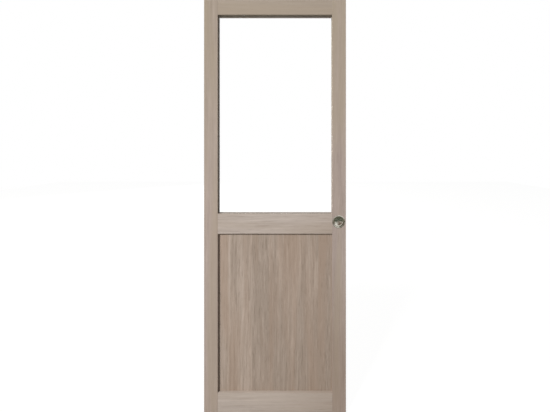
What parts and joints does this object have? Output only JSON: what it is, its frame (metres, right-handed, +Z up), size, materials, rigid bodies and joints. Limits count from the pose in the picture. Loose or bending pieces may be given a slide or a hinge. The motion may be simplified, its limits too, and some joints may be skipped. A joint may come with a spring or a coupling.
{
  "type": "glazed sliding door",
  "caption": "Oak-faced sliding door leaf, glazed above and panelled below, with flush pulls, hung on wheels from a top track, with a floor guide.",
  "frame": {"origin": "on the finished floor, under the middle of the track's length and width", "axes": "+X along the track towards the closed position, +Y from the front face to the back, +Z up"},
  "size_m": [1.405, 0.0424, 2.178],
  "materials": {
    "bleached_oak_stile": "matt oil on light grey-beige oak, grain upright",
    "bleached_oak_rail": "matt oil on light grey-beige oak, grain level",
    "bleached_oak_panel": "matt oil on oak veneer, grain upright",
    "bleached_oak_bead": "matt oil on light grey-beige oak",
    "beech_dowel": "plain beech",
    "clear_glass": "clear toughened glass",
    "grey_glazing_tape": "closed-cell foam tape",
    "setting_block_plastic": "moulded",
    "polished_steel": "polished stainless steel",
    "zinc_plated_steel": "bright zinc plate",
    "cast_zinc": "as cast",
    "sintered_bronze": "sintered, oil filled",
    "bright_axle_steel": "ground bright",
    "white_nylon": "moulded nylon",
    "anodised_aluminium": "natural satin anodised",
    "black_rubber": "moulded",
    "black_oxide_steel": "black oxide",
    "grey_nylon": "moulded nylon"
  },
  "bodies": {
    "track": {"top_track": "anodised_aluminium", "left_end_stop": "black_oxide_steel", "right_end_stop": "black_oxide_steel", "end_stop_buffers": "black_rubber", "end_stop_screws": "zinc_plated_steel", "floor_guide": "grey_nylon"},
    "leaf": {"left_stile": "bleached_oak_stile", "right_stile": "bleached_oak_stile", "top_rail": "bleached_oak_rail", "lock_rail": "bleached_oak_rail", "bottom_rail": "bleached_oak_rail", "lower_panel": "bleached_oak_panel", "rail_dowels": "beech_dowel", "glass_pane": "clear_glass", "front_glazing_tape": "grey_glazing_tape", "rear_glazing_tape": "grey_glazing_tape", "glass_setting_blocks": "setting_block_plastic", "bead_top": "bleached_oak_bead", "bead_bottom": "bleached_oak_bead", "bead_left": "bleached_oak_bead", "bead_right": "bleached_oak_bead", "bead_pins": "zinc_plated_steel", "front_pull_cup": "polished_steel", "rear_pull_cup": "polished_steel", "edge_finger_pull": "polished_steel", "left_hanger_bracket": "zinc_plated_steel", "right_hanger_bracket": "zinc_plated_steel", "hanger_bracket_screws": "zinc_plated_steel", "left_hanger_bolt": "zinc_plated_steel", "right_hanger_bolt": "zinc_plated_steel", "hanger_lock_nuts": "zinc_plated_steel", "left_carriage_body": "cast_zinc", "right_carriage_body": "cast_zinc", "carriage_bushes": "sintered_bronze"},
    "wheelset_1": {"axle_1": "bright_axle_steel", "wheel_1_front": "white_nylon", "wheel_1_rear": "white_nylon"},
    "wheelset_2": {"axle_2": "bright_axle_steel", "wheel_2_front": "white_nylon", "wheel_2_rear": "white_nylon"},
    "wheelset_3": {"axle_3": "bright_axle_steel", "wheel_3_front": "white_nylon", "wheel_3_rear": "white_nylon"},
    "wheelset_4": {"axle_4": "bright_axle_steel", "wheel_4_front": "white_nylon", "wheel_4_rear": "white_nylon"}
  },
  "joints": [
    {"name": "leaf_slide", "type": "slide", "parent": "track", "child": "leaf", "axis": [-1, 0, 0], "range_m": [0, 0.66]},
    {"name": "wheelset_1_spin", "type": "hinge", "parent": "leaf", "child": "wheelset_1", "pos_m": [0.0755, 0, 2.1573], "axis": [0, -1, 0], "continuous": true},
    {"name": "wheelset_2_spin", "type": "hinge", "parent": "leaf", "child": "wheelset_2", "pos_m": [0.1195, 0, 2.1573], "axis": [0, -1, 0], "continuous": true},
    {"name": "wheelset_3_spin", "type": "hinge", "parent": "leaf", "child": "wheelset_3", "pos_m": [0.5405, 0, 2.1573], "axis": [0, -1, 0], "continuous": true},
    {"name": "wheelset_4_spin", "type": "hinge", "parent": "leaf", "child": "wheelset_4", "pos_m": [0.5845, 0, 2.1573], "axis": [0, -1, 0], "continuous": true}
  ],
  "couplings": [
    {"joint": "wheelset_1_spin", "follows": "leaf_slide", "rad_per_m": 83.333},
    {"joint": "wheelset_2_spin", "follows": "leaf_slide", "rad_per_m": 83.333},
    {"joint": "wheelset_3_spin", "follows": "leaf_slide", "rad_per_m": 83.333},
    {"joint": "wheelset_4_spin", "follows": "leaf_slide", "rad_per_m": 83.333}
  ]
}
